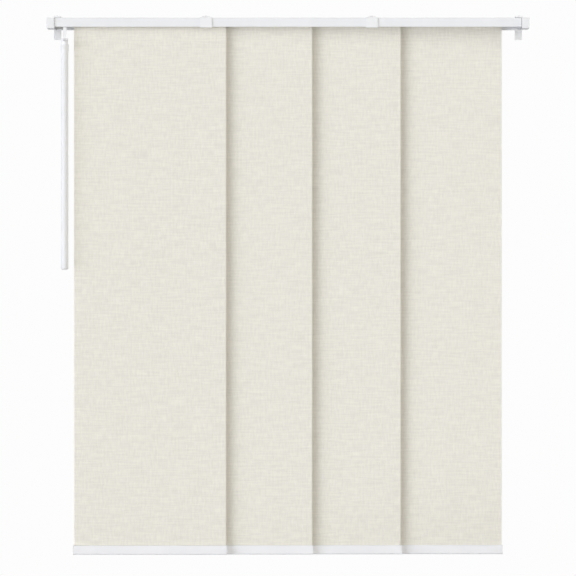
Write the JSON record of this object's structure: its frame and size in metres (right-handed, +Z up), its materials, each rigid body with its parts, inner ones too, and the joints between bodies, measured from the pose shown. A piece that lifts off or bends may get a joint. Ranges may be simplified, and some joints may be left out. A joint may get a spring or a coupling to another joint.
{
  "type": "sliding panel blind",
  "caption": "Wall-mounted sliding panel blind: flat linen panels with weighted bottom rails hang in parallel lanes of one head rail, towed by a wand.",
  "frame": {"origin": "on the wall plane, at the centre of the four outer wall screws, in the middle of the rail's length", "axes": "+X along the head rail to the right as seen from the room, +Y towards the wall, +Z up"},
  "size_m": [1.905, 0.1111, 2.1269],
  "materials": {
    "rail_white": "white powder coat",
    "plastic_white": "white moulded plastic",
    "wand_white": "glossy white tube",
    "linen": "cream linen-look weave",
    "glider_nylon": "natural nylon",
    "hook_tape": "white hook tape",
    "zinc_steel": "zinc plated"
  },
  "bodies": {
    "track": {"head_rail": "rail_white", "end_cap_left": "plastic_white", "end_cap_right": "plastic_white", "wall_bracket_1": "rail_white", "rail_clip_1": "zinc_steel", "wall_bracket_2": "rail_white", "rail_clip_2": "zinc_steel", "wall_bracket_3": "rail_white", "rail_clip_3": "zinc_steel", "wall_bracket_4": "rail_white", "rail_clip_4": "zinc_steel", "front_clip_left": "plastic_white", "front_clip_right": "plastic_white", "clip_bolts": "zinc_steel"},
    "panel_1": {"carrier_1": "rail_white", "gliders_1": "glider_nylon", "hook_tape_1": "hook_tape", "carrier_plugs_1": "plastic_white", "fabric_1": "linen", "hem_spline_1": "glider_nylon", "bottom_rail_1": "rail_white", "bottom_caps_1": "plastic_white", "wand_arm": "plastic_white"},
    "panel_2": {"carrier_2": "rail_white", "gliders_2": "glider_nylon", "hook_tape_2": "hook_tape", "carrier_plugs_2": "plastic_white", "fabric_2": "linen", "hem_spline_2": "glider_nylon", "bottom_rail_2": "rail_white", "bottom_caps_2": "plastic_white", "tow_clip_2": "plastic_white"},
    "panel_3": {"carrier_3": "rail_white", "gliders_3": "glider_nylon", "hook_tape_3": "hook_tape", "carrier_plugs_3": "plastic_white", "fabric_3": "linen", "hem_spline_3": "glider_nylon", "bottom_rail_3": "rail_white", "bottom_caps_3": "plastic_white", "tow_clip_3": "plastic_white"},
    "panel_4": {"carrier_4": "rail_white", "gliders_4": "glider_nylon", "hook_tape_4": "hook_tape", "carrier_plugs_4": "plastic_white", "fabric_4": "linen", "hem_spline_4": "glider_nylon", "bottom_rail_4": "rail_white", "bottom_caps_4": "plastic_white", "tow_clip_4": "plastic_white"},
    "wand_link": {"wand_link": "plastic_white"},
    "wand": {"wand_pin": "zinc_steel", "wand_ferrule": "plastic_white", "wand_collar": "plastic_white", "wand_tube": "wand_white", "wand_tip": "wand_white"}
  },
  "joints": [
    {"name": "panel_4_slide", "type": "slide", "parent": "track", "child": "panel_4", "axis": [1, 0, 0], "range_m": [-0.0145, 0.06]},
    {"name": "panel_3_slide", "type": "slide", "parent": "panel_4", "child": "panel_3", "axis": [1, 0, 0], "range_m": [0, 0.3992]},
    {"name": "panel_2_slide", "type": "slide", "parent": "panel_3", "child": "panel_2", "axis": [1, 0, 0], "range_m": [0, 0.3497]},
    {"name": "panel_1_slide", "type": "slide", "parent": "panel_2", "child": "panel_1", "axis": [1, 0, 0], "range_m": [0, 0.3399]},
    {"name": "wand_sway", "type": "hinge", "parent": "panel_1", "child": "wand_link", "pos_m": [-0.88, -0.095, -0.0145], "axis": [0, 1, 0], "range_deg": [-45, 45]},
    {"name": "wand_swing", "type": "hinge", "parent": "wand_link", "child": "wand", "pos_m": [-0.88, -0.095, -0.072], "axis": [-1, 0, 0], "range_deg": [0, 75]}
  ]
}
